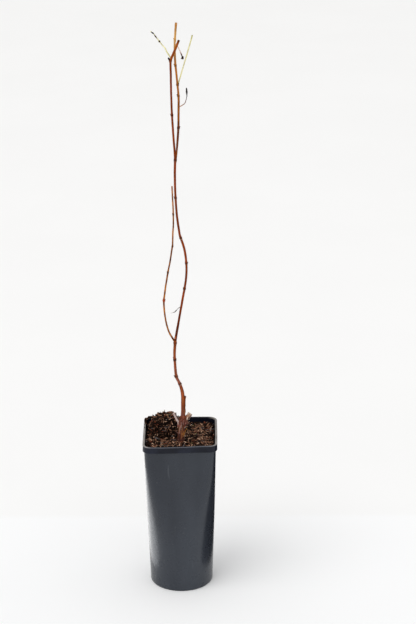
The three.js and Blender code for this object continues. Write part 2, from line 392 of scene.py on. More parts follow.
def add_piece(name, verts, faces, materials, nodes=(), paint=None, tones=None, smooth=True):
    """A mesh object of the model, riding on its one body and standing for the CAD nodes named. paint
    is a colour for each point, and tones the number of each face's material."""
    mesh = bpy.data.meshes.new(name)
    mesh.from_pydata(np.asarray(verts, float).tolist(), [], faces)
    for material in materials:
        mesh.materials.append(material)
    if tones is not None:
        mesh.polygons.foreach_set("material_index", tones)
    mesh.polygons.foreach_set("use_smooth", [smooth] * len(mesh.polygons))
    if paint is not None:
        layer = mesh.color_attributes.new(PAINT, "FLOAT_COLOR", "POINT")
        rgba = np.ones((len(verts), 4))
        rgba[:, :3] = np.clip(paint, 0, 1)
        layer.data.foreach_set("color", rgba.ravel())
    mesh.validate()
    piece = new_object(name, mesh)
    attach(piece, "root")
    if nodes:
        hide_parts(*nodes)
    return piece


def ring_faces(rings, count):
    """Faces between rings of points that follow each other, each with count points."""
    faces = []
    for a in range(0, (rings - 1) * count, count):
        for i in range(count):
            j = (i + 1) % count
            faces.append((a + i, a + j, a + count + j, a + count + i))
    return faces


def capped_faces(rings, count):
    """Faces between rings of points, and one over the first ring and one over the last."""
    return [*ring_faces(rings, count), tuple(reversed(range(count))),
            tuple(range((rings - 1) * count, rings * count))]


def carried_frames(path):
    """Two directions across a path at each of its points, carried along it without twisting."""
    tangents = np.gradient(path, axis=0)
    tangents /= np.linalg.norm(tangents, axis=1)[:, None]
    side = np.cross([0.0, 1.0, 0.0], tangents[0])
    if np.linalg.norm(side) < 0.1:
        side = np.cross([1.0, 0.0, 0.0], tangents[0])
    sides = []
    for t in tangents:
        side = side - t * (side @ t)
        side /= np.linalg.norm(side)
        sides.append(side)
    sides = np.array(sides)
    return tangents, sides, np.cross(tangents, sides)


class Tube:
    """The skin of a limb: rings of points round a path, which relief and paint are worked out on.

    s is the distance along the limb at each point, and turn the angle round it, from +X towards +Y
    on an upright limb."""

    def __init__(self, path, along, sides):
        self.path, self.along, self.sides = path, along, sides
        self.tangent, self.across, self.out = carried_frames(path[:, :3])
        self.turn = np.tile(full_turn(sides), len(path))
        self.s = np.repeat(along, sides)
        self.ray = (np.repeat(self.across, sides, axis=0) * np.cos(self.turn)[:, None]
                    + np.repeat(self.out, sides, axis=0) * np.sin(self.turn)[:, None])
        self.radius = np.repeat(path[:, 3], sides)
        self.centre = np.repeat(path[:, :3], sides, axis=0)

    def unrolled(self, stretch=1.0):
        """Points on a straightened copy of the limb, for noise that runs along it."""
        r = self.radius.mean()
        return np.column_stack([r * np.cos(self.turn), r * np.sin(self.turn), self.s * stretch])

    def near(self, at, length):
        """1 at a distance along the limb, fading out over about twice the length on either side."""
        return np.exp(-((self.s - at) / length) ** 2)

    def noise(self, stretch, size, seed):
        """Noise on the skin, its features size millimetres across and 1 / stretch times as long."""
        return noise(self.unrolled(stretch), size * MM, seed)

    def fractal(self, stretch, size, octaves, seed):
        return fractal(self.unrolled(stretch), size * MM, octaves, seed)

    def bulge(self, at, length, height, lean=None, focus=1.0):
        """A smooth swelling at a distance along the limb, all round it or on the side of lean. Its
        length and height are in millimetres."""
        swell = height * MM * self.near(at, length * MM)
        if lean is None:
            return swell
        return swell * np.exp(focus * (np.cos(self.turn - lean) - 1))

    def piece(self, name, radius, paint, end, material, slot, nodes):
        """Adds the limb's skin to the model. end shapes the far end with more rings, each given as its
        share of the last radius, how far along it lies in millimetres, and its colour."""
        points, colours = [self.centre + self.ray * radius[:, None]], [paint]
        rim = self.ray[-self.sides:] * radius[-self.sides:, None]
        for share, step, colour in end:
            points.append(self.path[-1, :3] + self.tangent[-1] * step * MM + rim * share)
            colours.append(np.tile(colour, (self.sides, 1)))
        rings = len(self.path) + len(end)
        points.append([self.path[0, :3], points[-1].mean(0)])
        colours.append([paint[0], colours[-1][-1]])
        faces = ring_faces(rings, self.sides)
        first, last, top = rings * self.sides, rings * self.sides + 1, (rings - 1) * self.sides
        for i in range(self.sides):
            j = (i + 1) % self.sides
            faces.append((first, j, i))
            faces.append((last, top + i, top + j))
        add_piece(name, np.vstack(points), faces, [material], nodes, np.vstack(colours))

    def distance(self, height):
        """Distance along a rising limb at a height."""
        return float(self.along[nearest(self.path[:, 2], height)])

    def at(self, s, turn, lift=0.0):
        """A place on the skin, its outward direction and the limb's own direction there."""
        row = nearest(self.along, s)
        ray = self.across[row] * math.cos(turn) + self.out[row] * math.sin(turn)
        return self.path[row, :3] + ray * (self.path[row, 3] + lift), ray, self.tangent[row]


class Heap:
    """Many small shapes gathered into one mesh, each with one of its materials."""

    def __init__(self):
        self.verts, self.faces, self.tones, self.count = [], [], [], 0

    def add(self, points, faces, tone=0):
        points = np.asarray(points, float)
        self.faces += [tuple(i + self.count for i in face) for face in faces]
        self.tones += [tone] * len(faces)
        self.verts.append(points)
        self.count += len(points)

    def points(self):
        return np.vstack(self.verts)

    def piece(self, name, materials, slot, smooth=True, points=None):
        """Adds the heap to the model, with its own points or others in their stead."""
        verts = self.points() if points is None else points
        return add_piece(name, verts, self.faces, materials, tones=self.tones, smooth=smooth)


# ------------------------------------------------------------------ pot


def squareness(z):
    """0 where the pot is round, 1 where it is square."""
    return smoothstep(z, ROUND_UNTIL, NECK_HEIGHT)


def wall_size(z):
    """Half width and corner radius of the pot's outer wall at a height."""
    half = BASE_HALF + (NECK_HALF - BASE_HALF) * z / NECK_HEIGHT
    return half, half + (NECK_CORNER - half) * squareness(z)


def square_outline(half, corner, turns):
    """Distance from the middle to a square with rounded corners, in each direction."""
    x, y = np.abs(np.cos(turns)), np.abs(np.sin(turns))
    inner = half - corner
    on_side = half / np.maximum(x, y)
    b = inner * (x + y)
    on_corner = b + np.sqrt(np.maximum(b * b - (2 * inner * inner - corner * corner), 0))
    beyond = np.minimum(x, y) * on_side > inner
    return np.where(beyond, on_corner, on_side)


POT_TURNS = full_turn(240)


def pot_ring(z, half, corner):
    """Points round a square with rounded corners at a height."""
    reach = square_outline(half, corner, POT_TURNS)
    return np.column_stack([reach * np.cos(POT_TURNS), reach * np.sin(POT_TURNS), np.full(len(reach), z)])


def arc(centre_z, centre_r, radius, start, stop, steps):
    """Points of a rounded edge, as (height, distance out)."""
    for angle in np.linspace(math.radians(start), math.radians(stop), steps):
        yield centre_z + radius * math.sin(angle), centre_r + radius * math.cos(angle)


BULGE, RIPPLE, SAG = 0.7 * MM, 0.35 * MM, 1.7 * MM


def bent_plastic(points):
    """The pot is thin and a little out of true: it bulges, ripples, and its front lip sags."""
    out = points.copy()
    x, y, z = points.T
    reach = np.hypot(x, y)
    body = smoothstep(z, 0.0, 0.05) * (1 - smoothstep(z, NECK_HEIGHT - 0.01, RIM_TOP))
    bulge = BULGE * body * np.sin(math.pi * z / NECK_HEIGHT)
    ripple = RIPPLE * noise(points * [1, 1, 0.5], 0.034, 5) * smoothstep(z, 0.0, 0.03)
    safe_reach = np.maximum(reach, 1e-6)
    flat = np.maximum(np.abs(x), np.abs(y)) / safe_reach
    out[:, :2] *= (1 + (bulge * flat ** 4 + ripple) / safe_reach)[:, None]
    rim = smoothstep(z, RIM_TOP - 0.03, RIM_TOP)
    front = smoothstep(-y, 0.03, 0.05)
    sag = SAG * front * (1 - smoothstep(x, -0.03, 0.045))
    sag += RIPPLE * noise(points, 0.03, 9)
    out[:, 2] -= rim * sag
    return out


BODY, BAND, EDGE, LIP = range(4)
# EDGE faces take the lip's painted highlight line, LIP faces its painted shade and side highlights
LIP_TONES = [BAND, BAND, EDGE, EDGE, LIP, LIP, LIP]


def make_pot():
    """The pot in one skin: up the outer wall, over the rim band and its lip, and down the inner wall."""
    rows, tones = [], []

    def row(z, half, corner, tone=BODY):
        rows.append(pot_ring(z, half, corner))
        tones.extend([tone] * len(POT_TURNS))

    def band_row(z, inset, tone=BAND):
        row(z, RIM_HALF - inset, RIM_CORNER - inset, tone)

    bevel = 2 * MM
    for z, out in arc(bevel, -bevel, bevel, -90, 0, 6):
        row(z, BASE_HALF + out, BASE_HALF + out)
    for z in np.arange(bevel + 1.5 * MM, NECK_HEIGHT - 1 * MM, 2 * MM):
        row(z, *wall_size(z))
    row(NECK_HEIGHT, NECK_HALF, NECK_CORNER)

    # the turned-down band, with a bead along its foot
    bead = 0.5 * MM
    band_row(NECK_HEIGHT + 0.1 * MM, 1.3 * MM)
    for z, out in arc(NECK_HEIGHT + bead, -bead, bead, -80, 0, 5):
        band_row(z, -out)
    band_row(NECK_HEIGHT + 1.6 * MM, 0.15 * MM)
    band_row(NECK_HEIGHT + 2.6 * MM, 0.35 * MM)
    for z in np.linspace(NECK_HEIGHT + 4 * MM, RIM_TOP - 1.6 * MM, 4):
        band_row(z, 0.3 * MM)
    lip = 1.1 * MM
    for (z, out), tone in zip(arc(RIM_TOP - lip, -lip, lip, 0, 90, len(LIP_TONES)), LIP_TONES):
        band_row(z, -out, tone)
    inner_lip = 0.7 * MM
    for z, out in arc(RIM_TOP - inner_lip, 0, inner_lip, 90, 0, 5):
        band_row(z, LIP_WIDTH - inner_lip + out, LIP)

    # the inner wall, down to the floor
    for z in np.arange(RIM_TOP - 2 * MM, NECK_HEIGHT, -2 * MM):
        band_row(z, LIP_WIDTH)
    for z in (*np.arange(NECK_HEIGHT - 2 * MM, 150 * MM, -4 * MM), 100 * MM, 50 * MM, ROUND_UNTIL,
              FLOOR_THICKNESS):
        half, corner = wall_size(z)
        row(z, half - WALL, corner - WALL)

    # the sole and the inner floor, as a disc with drain holes bored through
    faces = capped_faces(len(rows), len(POT_TURNS))
    tones = tones[:-len(POT_TURNS)] + [BODY, BODY]
    points = bent_plastic(np.vstack(rows))
    materials = [pot_plastic(), shaded_band_plastic(),
                 # the thin line along the lip's outer bend: a painted highlight, pale all along
                 lip_highlight_plastic("edge_highlight_plastic", srgb(102, 104, 114), srgb(114, 112, 112), 0.038, 0.05),
                 lip_highlight_plastic("lip_highlight_plastic", srgb(14, 17, 28), srgb(110, 106, 102), 0.04, 0.0475)]
    pot = add_piece("nursery_pot", points, faces, materials, ["pot"], tones=tones)
    bore_drains(pot)


def bore_drains(pot, holes=6, radius=4.5 * MM, circle=29 * MM):
    """Cuts round drain holes through the floor."""
    turns = full_turn(24)
    cutters = Heap()
    for i in range(holes):
        angle = 2 * math.pi * i / holes
        x = circle * math.cos(angle) + radius * np.cos(turns)
        y = circle * math.sin(angle) + radius * np.sin(turns)
        rings = [np.column_stack([x, y, np.full(len(turns), z)]) for z in (-5 * MM, 6 * MM)]
        cutters.add(np.vstack(rings), capped_faces(2, len(turns)))
    mesh = bpy.data.meshes.new("drain_cutters")
    mesh.from_pydata(cutters.points().tolist(), [], cutters.faces)
    cutter = new_object("drain_cutters", mesh)
    modifier = pot.modifiers.new("drains", "BOOLEAN")
    modifier.operation = "DIFFERENCE"
    modifier.solver = "EXACT"
    modifier.object = cutter
    bpy.context.view_layer.update()
    result = bpy.data.meshes.new_from_object(pot.evaluated_get(bpy.context.evaluated_depsgraph_get()))
    pot.modifiers.clear()
    pot.data = result
    bpy.data.objects.remove(cutter)


# ------------------------------------------------------------------ potting soil

SOIL_TREE = BVHTree.FromObject(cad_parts["potting_soil"], bpy.context.evaluated_depsgraph_get())


def soil_height(x, y):
    """Height of the CAD soil under a place, or of its edge where the place is just outside it."""
    for shrink in (1.0, 0.985, 0.96, 0.93):
        hit = SOIL_TREE.ray_cast(Vector((x * shrink, y * shrink, 1.0)), Vector((0, 0, -1)))[0]
        if hit is not None:
            return hit.z
    return SOIL_HIGH.z - 20 * MM


def inside_pot(points, clearance=0.4 * MM):
    """Points moved in, where need be, so that they are clear of the pot's inner wall."""
    out = points.copy()
    turns = np.arctan2(points[:, 1], points[:, 0])
    reach = np.hypot(points[:, 0], points[:, 1])
    half, corner = wall_size(np.minimum(points[:, 2], NECK_HEIGHT))
    low = square_outline(half - WALL - clearance, corner - WALL - clearance, turns)
    high = square_outline(RIM_HALF - LIP_WIDTH - clearance, RIM_CORNER - LIP_WIDTH, turns)
    limit = np.where(points[:, 2] > NECK_HEIGHT, high, low)
    shrink = np.minimum(1, limit / np.maximum(reach, 1e-9))
    out[:, :2] *= shrink[:, None]
    return out


SOIL = {
    "peat": (srgb(11, 6, 4), srgb(42, 25, 18)),
    "bark": (srgb(64, 41, 30), srgb(142, 103, 80)),
    "red": (srgb(66, 32, 22), srgb(120, 66, 46)),
    "grey": (srgb(50, 45, 46), srgb(104, 96, 96)),
    "tan": (srgb(150, 114, 90), srgb(220, 180, 152)),
    "pale": (srgb(200, 186, 168), srgb(246, 238, 226)),
    "olive": (srgb(104, 94, 60), srgb(160, 148, 96)),
}


def make_soil_bed(material):
    """The body of the soil: sides and underside against the pot, and a coarse, pitted surface, which
    lies a little low so that the crumbs strewn on it fill the CAD soil."""
    clearance = WALL + 0.5 * MM
    lowered = 2.6 * MM
    rings = []
    for z in (FLOOR_THICKNESS + 0.3 * MM, 30 * MM, 80 * MM, 130 * MM, 180 * MM, 210 * MM):
        half, corner = wall_size(z)
        rings.append(pot_ring(z, half - clearance, corner - clearance))
    edge = pot_ring(0, NECK_HALF - clearance, NECK_CORNER - clearance)
    for share in np.linspace(1, 0.01, 70):
        ring = edge * [share, share, 1]
        ring[:, 2] = [soil_height(x, y) for x, y, _ in ring]
        pits = fractal(ring, 7 * MM, 4, 3)
        ring[:, 2] += 1.6 * MM * pits - lowered
        rings.append(ring)
    faces = capped_faces(len(rings), len(POT_TURNS))
    add_piece("soil_bed", inside_pot(np.vstack(rings)), faces, [material], ["potting_soil"])


def random_turn():
    """A random rotation matrix."""
    q = RNG.normal(size=4)
    q /= np.linalg.norm(q)
    w, x, y, z = q
    return np.array([[1 - 2 * (y * y + z * z), 2 * (x * y - z * w), 2 * (x * z + y * w)],
                     [2 * (x * y + z * w), 1 - 2 * (x * x + z * z), 2 * (y * z - x * w)],
                     [2 * (x * z - y * w), 2 * (y * z + x * w), 1 - 2 * (x * x + y * y)]])


def lying_turn(tilt):
    """A rotation that leaves a flat thing lying roughly flat, facing any way round."""
    spin = Matrix.Rotation(RNG.uniform(0, 2 * math.pi), 3, "Z")
    lean = Matrix.Rotation(RNG.normal(0, tilt), 3, "X") @ Matrix.Rotation(RNG.normal(0, tilt), 3, "Y")
    return np.array(spin @ lean)


def icosahedron():
    """Its corners, at a distance of 1 from the middle, and its faces."""
    g = (1 + 5 ** 0.5) / 2
    corners = [(-1, g, 0), (1, g, 0), (-1, -g, 0), (1, -g, 0), (0, -1, g), (0, 1, g),
               (0, -1, -g), (0, 1, -g), (g, 0, -1), (g, 0, 1), (-g, 0, -1), (-g, 0, 1)]
    faces = [(0, 11, 5), (0, 5, 1), (0, 1, 7), (0, 7, 10), (0, 10, 11), (1, 5, 9), (5, 11, 4),
             (11, 10, 2), (10, 7, 6), (7, 1, 8), (3, 9, 4), (3, 4, 2), (3, 2, 6), (3, 6, 8),
             (3, 8, 9), (4, 9, 5), (2, 4, 11), (6, 2, 10), (8, 6, 7), (9, 8, 1)]
    return np.array(corners) / np.linalg.norm(corners[0]), faces


CRUMB_POINTS, CRUMB_FACES = icosahedron()


def crumb(size):
    """An uneven lump."""
    shape = CRUMB_POINTS * RNG.uniform(0.62, 1.2, (len(CRUMB_POINTS), 1))
    return shape * RNG.uniform(0.6, 1.25, 3) * size / 2 @ random_turn().T, CRUMB_FACES


CHIP_OUTLINE = ((-1, -0.6), (-0.9, 0.5), (0, 1), (0.9, 0.5), (1, -0.6), (0, -1))


def chip(length, width, thickness):
    """A splinter of bark: an uneven, slightly bent slab with ragged ends."""
    stations, profile = 5, []
    bend = RNG.normal(0, 0.10) * length
    for t in np.linspace(-1, 1, stations):
        taper = (1 - abs(t) ** 3 * 0.75) * RNG.uniform(0.75, 1.1)
        x = t * length / 2
        lift = bend * (t * t - 0.4)
        for dy, dz in CHIP_OUTLINE:
            wobble = RNG.uniform(0.75, 1.2)
            profile.append((x + RNG.normal(0, 0.04) * length, dy * width / 2 * taper * wobble,
                            lift + dz * thickness / 2 * wobble))
    return np.array(profile), [tuple(reversed(face)) for face in capped_faces(stations, len(CHIP_OUTLINE))]


def fibre(length, radius, curl):
    """A bent thread of root or peat fibre."""
    steps = 9
    heading, pitch = RNG.uniform(0, 2 * math.pi), RNG.normal(0, 0.25)
    place, points = np.zeros(3), []
    for _ in range(steps):
        points.append(place.copy())
        heading += RNG.normal(0, curl)
        pitch = np.clip(pitch + RNG.normal(0, curl * 0.6), -0.7, 0.7)
        place += length / steps * np.array([math.cos(heading) * math.cos(pitch),
                                            math.sin(heading) * math.cos(pitch), math.sin(pitch)])
    points = np.array(points) - np.mean(points, axis=0)
    _, across, out = carried_frames(points)
    sides = 4
    rings = []
    for i, p in enumerate(points):
        r = radius * (1 - 0.7 * (2 * i / (steps - 1) - 1) ** 2)
        rings += [p + r * (across[i] * math.cos(a) + out[i] * math.sin(a)) for a in full_turn(sides)]
    return np.array(rings), capped_faces(steps, sides)


def reach_of(half, corner, turn):
    """Distance from the middle to a square with rounded corners, in one direction."""
    return float(square_outline(half, corner, np.array([turn]))[0])


def scatter_place(spread):
    """A random place on the soil's surface, out to a share of the way to the wall."""
    while True:
        x, y = RNG.uniform(-NECK_HALF, NECK_HALF, 2)
        limit = reach_of(NECK_HALF - WALL - 1 * MM, NECK_CORNER, math.atan2(y, x))
        if math.hypot(x, y) < limit * spread:
            return x, y, soil_height(x, y)


def scatter(name, kind, count, shape, sink, tilt=None, spread=0.99):
    """Strews small shapes over the soil, each sunk by a random depth in millimetres within sink, and
    joins them into one piece. Flat shapes lie with about the given tilt. The pale kinds spread less
    far, which leaves the soil darker along the pot's wall as painted shade."""
    heap = Heap()
    for _ in range(count):
        points, faces = shape()
        place = np.array(scatter_place(spread))
        if tilt is not None:
            points = points @ lying_turn(tilt).T
        place[2] += 0.12 * np.ptp(points, axis=0).max() - RNG.uniform(*sink) * MM
        heap.add(points + place, faces)
    heap.piece(name, [grainy(name, *SOIL[kind])], "soil", smooth=False, points=inside_pot(heap.points()))


BACK_LEFT = 128  # degrees round from +X, where the heap is highest


def spill(name, kind, count, shape):
    """Strews small shapes over the lip at the back left corner, where the heap has run over it."""
    heap = Heap()
    for _ in range(count):
        points, faces = shape()
        turn = math.radians(RNG.normal(BACK_LEFT, 10))
        reach = RNG.uniform(0.94, 0.985) * reach_of(RIM_HALF, RIM_CORNER, turn)
        points = points @ lying_turn(0.3).T
        lift = 0.35 * np.ptp(points[:, 2])
        heap.add(points + [reach * math.cos(turn), reach * math.sin(turn), RIM_TOP + lift], faces)
    heap.piece(name, [grainy(name, *SOIL[kind])], "soil", smooth=False)


def crumbs(low, high):
    """A maker of crumbs from low to high millimetres across."""
    return lambda: crumb(RNG.uniform(low, high) * MM)


def splinters(low, high, slimmest=0.18, widest=0.4):
    """A maker of chips from low to high millimetres long, their width a share of their length."""
    def make():
        length = RNG.uniform(low, high) * MM
        return chip(length, length * RNG.uniform(slimmest, widest), RNG.uniform(0.6, 1.4) * MM)
    return make


def fibres(longest, thickest):
    """A maker of fibres, with their greatest length and radius in millimetres."""
    return lambda: fibre(RNG.uniform(5, longest) * MM, RNG.uniform(0.2, thickest) * MM, 0.35)


def make_soil():
    """Peat with bark, splinters, fibres and a little grit."""
    make_soil_bed(grainy("soil_ground", srgb(7, 4, 3), srgb(20, 12, 9), 300))
    scatter("peat_crumbs", "peat", 3600, crumbs(1.6, 4.4), (-0.2, 3.2))
    # the bark and tan kinds stop short of the wall, leaving painted shade along it
    scatter("bark_crumbs", "bark", 260, crumbs(1.2, 3.2), (-0.3, 1.6), spread=0.93)
    scatter("red_crumbs", "red", 150, crumbs(1.2, 3.0), (-0.3, 1.2))
    scatter("peat_splinters", "peat", 800, splinters(4, 11), (0.0, 2.4), 0.3)
    scatter("bark_splinters", "bark", 300, splinters(4, 11, 0.16, 0.32), (-0.8, 1.2), 0.32, 0.92)
    scatter("red_splinters", "red", 110, splinters(3.5, 9), (-0.6, 1.0), 0.3)
    scatter("grey_splinters", "grey", 90, splinters(3, 10, 0.16, 0.3), (-0.6, 1.0), 0.3)
    scatter("tan_splinters", "tan", 115, splinters(3, 8, 0.16, 0.3), (-1.0, 0.4), 0.32, 0.92)
    scatter("olive_splinters", "olive", 14, splinters(3, 6), (-1.4, 0.0), 0.4)
    scatter("pale_grit", "pale", 40, crumbs(1.0, 2.2), (-1.2, 0.0))
    scatter("dark_fibres", "peat", 220, fibres(14, 0.45), (-0.4, 1.2))
    scatter("tan_fibres", "tan", 80, fibres(13, 0.4), (-0.8, 0.3))
    spill("spilled_peat", "peat", 150, crumbs(1.0, 2.6))
    spill("spilled_bark", "bark", 40, splinters(2.5, 5))


# ------------------------------------------------------------------ vine

# colours of bark, cut wood and dry skin
WOOD = {name: np.array(srgb(*colour)[:3]) for name, colour in {
    "old": (122, 74, 62), "old_dark": (52, 30, 27), "old_pink": (178, 128, 118),
    "cane": (148, 70, 8), "cane_red": (150, 74, 36), "cane_dark": (80, 28, 0), "cane_purple": (86, 32, 16),
    "cane_tan": (204, 128, 38), "cane_orange": (172, 88, 6), "cane_gold": (186, 108, 4),
    "cane_rust": (158, 66, 0), "tip_tan": (232, 182, 108), "pale_wood": (240, 214, 184),
    "stub": (244, 222, 214), "stub_tan": (206, 160, 132), "green": (220, 218, 140),
    "straw": (250, 246, 190), "knot": (70, 50, 22), "black": (26, 16, 14), "red": (172, 58, 26),
}.items()}

FRONT, RIGHT, BACK, LEFT = -math.pi / 2, 0.0, math.pi / 2, math.pi


def cut(rim, face, core):
    """The rings of a pruned end: a rounded edge of bark, a face of wood, and the core sunk in it, its own
    colour darkened the deeper it lies as painted shade.
    """
    # the face and the sunk core darker inwards and downwards: painted shade over their own colours
    return [(0.97, 0.10, WOOD[rim]), (0.88, 0.16, WOOD[face]), (0.45, 0.12, WOOD[face] * 0.9),
            (0.38, -0.15, WOOD[core] * 0.5), (0.12, -0.3, WOOD[core] * 0.35)]


def rounded(colour):
    """The rings of an end that closes in a dome."""
    return [(0.86, 0.18, WOOD[colour]), (0.55, 0.38, WOOD[colour]), (0.18, 0.48, WOOD[colour])]


def blend(a, b, share):
    """Rows of colour between a and b."""
    share = np.asarray(share)[:, None]
    return np.asarray(a) * (1 - share) + np.asarray(b) * share


def noise_along(along, size, seed):
    """Noise that changes along a limb but not round it."""
    return noise(np.column_stack([along, along * 0, along * 0]), size, seed)


def ridges(tube, count, depth, drift, seed):
    """Fine ribs that run along the limb and drift a little round it."""
    turned = drift * noise_along(tube.s, 18 * MM, seed)
    wave = np.cos(count * (tube.turn + turned))
    return depth * wave * (0.75 + 0.25 * tube.noise(0.4, 2, seed + 1))


def wander(path, along, size, amount, seed):
    """Small bends added to a path, none at its start."""
    out = path.copy()
    ease = smoothstep(along, 0, 2 * size)
    for axis in range(2):
        out[:, axis] += amount * ease * noise_along(along, size, seed + axis)
    return out


def winding_path(*nodes, size, amount, seed, **how):
    """The path through CAD limbs, with small bends of its own, its lengths in millimetres."""
    path, along = limb_path(*nodes, **how)
    return wander(path, along, size * MM, amount * MM, seed), along


def grown_from(root, steps):
    """A short path of its own from a root, through steps of x, y, z and radius in millimetres."""
    return spline([[*(root + np.array(place) * MM), r * MM] for *place, r in steps], 0.3 * MM)


def top_of(node):
    """The height that a CAD node reaches."""
    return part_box(node)[1].z


def bud(heap, tube, s, turn, length, width, tone, rise=0.7):
    """A pointed, two-scaled winter bud that leans up off the skin, its measures in millimetres."""
    foot, ray, tangent = tube.at(s, turn, -0.3 * width * MM)
    axis = ray * (1 - rise) + tangent * rise
    axis /= np.linalg.norm(axis)
    across = np.cross(axis, ray)
    across /= np.linalg.norm(across)
    out = np.cross(across, axis)
    sides, steps, rings = 14, 11, []
    turns = full_turn(sides)[:, None]
    for i in range(steps):
        t = i / (steps - 1)
        if t < 0.3:
            fat = 0.72 + 0.28 * math.sin(t / 0.3 * math.pi / 2)
        else:
            fat = math.sqrt(1 - ((t - 0.3) / 0.7) ** 2)
        seam = 1 - 0.18 * np.exp(-(np.cos(turns) / 0.25) ** 2) * math.sin(math.pi * t)
        r = max(fat, 0.03) * width * MM / 2 * seam
        ring = across * np.cos(turns) + 0.85 * out * np.sin(turns)
        rings.append(foot + axis * t * length * MM + r * ring)
    heap.add(np.vstack(rings), capped_faces(steps, sides), tone)


BUD_BROWN, BUD_BLACK, BUD_TAN, BUD_RED = range(4)


def bud_scales():
    """The materials of the buds, in the order of the four numbers above."""
    return [grainy("bud_brown", srgb(44, 22, 12), srgb(92, 50, 28), 900, 0.65),
            grainy("bud_black", srgb(24, 12, 8), srgb(56, 32, 22), 900, 0.6),
            grainy("bud_tan", srgb(150, 104, 62), srgb(206, 160, 110), 900, 0.65),
            grainy("bud_red", srgb(134, 56, 28), srgb(192, 100, 56), 900, 0.6)]


class Cane:
    """A ripe cane in the making: ribbed, mottled bark that nodes and colours are then added to."""

    def __init__(self, path, along, sides, base="cane", seed=0, mottling=0.4, bands=0.0):
        self.tube = tube = Tube(path, along, sides)
        self.radius = tube.radius * (1.08 + 0.05 * tube.noise(0.25, 9, seed))
        self.radius += ridges(tube, 9, 0.065 * MM, 0.5, seed + 2)
        self.radius += 0.03 * MM * tube.fractal(0.3, 0.8, 2, seed + 3)
        dark = 0.5 + 0.5 * tube.fractal(0.12, 2.2, 3, seed + 4)
        self.paint = blend(WOOD[base], WOOD["cane_dark"], np.clip(1.6 * mottling * dark, 0, 1))
        streak = smoothstep(tube.noise(0.06, 1.1, seed + 6), 0.35, 0.8)
        self.paint = blend(self.paint, np.minimum(1, self.paint * 1.9), 0.5 * streak)
        wave = tube.noise(0.45, 2.4, seed + 8)
        for colour, side in ((WOOD["cane_tan"], wave), (WOOD["cane_dark"] * 0.7, -wave)):
            self.paint = blend(self.paint, colour, bands * smoothstep(side, 0.05, 0.4))

    def tint(self, colour, start, stop, share=1.0, origin=0.0):
        """Turns the bark to a colour between start, where it is unchanged, and stop, both of them
        millimetres along the cane from origin."""
        start, stop = origin + start * MM, origin + stop * MM
        reach = smoothstep((self.tube.s - start) / (stop - start), 0, 1)
        self.paint = blend(self.paint, WOOD[colour], share * reach)

    def node(self, height, turn, size, ring=0.8):
        """A swollen node at a height, with a leaf scar and room for a bud on one side. size is its
        swelling, and ring the darkness of the band round it. Returns its distance along the cane."""
        tube = self.tube
        s = tube.distance(height)
        self.radius += tube.bulge(s, 2.2, 0.30 * size)
        self.radius += tube.bulge(s - 0.4 * MM, 1.3, 0.5 * size, turn, 1.6)
        self.radius += tube.bulge(s + 0.2 * MM, 1.5, 0.25 * size, turn + math.pi, 1.5)
        self.radius -= tube.bulge(s + 1.3 * MM, 0.35, 0.12 * size)
        band = np.clip(ring * 1.1 * tube.near(s, 1.2 * MM), 0, 1)
        self.paint = blend(self.paint, WOOD["cane_dark"] * 0.5, band)
        scar = np.exp(-((tube.s - s + 1.5 * MM) / (0.8 * MM)) ** 2 + 3 * (np.cos(tube.turn - turn) - 1))
        self.paint = blend(self.paint, WOOD["pale_wood"] * 0.7, 0.7 * scar)
        return s

    def budded(self, heap, height, turn, size, length, width, tone, rise, ring=0.8):
        """A node with its bud."""
        bud(heap, self.tube, self.node(height, turn, size, ring), turn, length, width, tone, rise)

    def finish(self, name, material, slot, nodes, end):
        self.tube.piece(name, self.radius, self.paint, end, material, slot, nodes)


def make_trunk(material):
    """Old wood: stringy, fissured bark over a slim foot with one burr, and a knuckled head."""
    path, along = limb_path("trunk", step=0.3, before=3)
    tube = Tube(path, along, 112)
    length = along[-1]
    burr, left_knuckle, right_knuckle = (tube.distance(TRUNK_FOOT + rise * MM) for rise in (11, 27, 29))
    strings = tube.fractal(0.22, 1.5, 3, 41)
    fissure = np.minimum(np.abs(tube.noise(0.13, 1.7, 44)) * 3.2, 1)
    radius = tube.radius + 0.4 * MM + 0.5 * MM * strings - 0.6 * MM * (1 - fissure)
    radius += 0.6 * MM * tube.noise(0.6, 6, 47)
    foot = tube.near(0, 0.16 * length)
    lobes = 0.5 + 0.5 * np.cos(3 * tube.turn + 0.7) + 0.4 * np.cos(5 * tube.turn + 2)
    radius += 0.7 * MM * foot * lobes - 1.1 * MM * foot
    radius += tube.bulge(burr, 2.2, 1.2, LEFT + 0.2, 2.6)
    radius *= 0.70 + 0.30 * smoothstep(tube.s, 0.12 * length, 0.52 * length)
    radius += tube.bulge(right_knuckle, 4, 1.2, RIGHT + 0.3, 1.2)
    radius += tube.bulge(left_knuckle, 4.5, 1.3, LEFT, 1.4)
    radius *= 1 - 0.35 * smoothstep(tube.s, length - 2.5 * MM, length)
    # darker in the hollows between the raised strings: painted shade
    shade = np.clip(0.65 + 0.6 * strings, 0, 1)
    paint = blend(WOOD["old_dark"], WOOD["old"], shade)
    paint = blend(paint, WOOD["old_pink"], 0.7 * smoothstep(tube.noise(0.22, 1.0, 52), 0.2, 0.7))
    paint = blend(paint, WOOD["red"] * 0.6, 0.25 * smoothstep(tube.noise(0.3, 4, 54), 0, 0.6))
    paint = blend(paint, WOOD["cane"], 0.4 * smoothstep(tube.s / length, 0.8, 1.0))
    paint *= 1 + 0.35 * smoothstep(tube.s / length, 0.5, 0.8)[:, None]
    # darker down in the fissures: painted shade
    paint *= (0.62 + 0.38 * fissure)[:, None]
    tube.piece("trunk_bark", radius, paint, rounded("old_dark"), material, "old_wood", ["trunk"])
    return tube


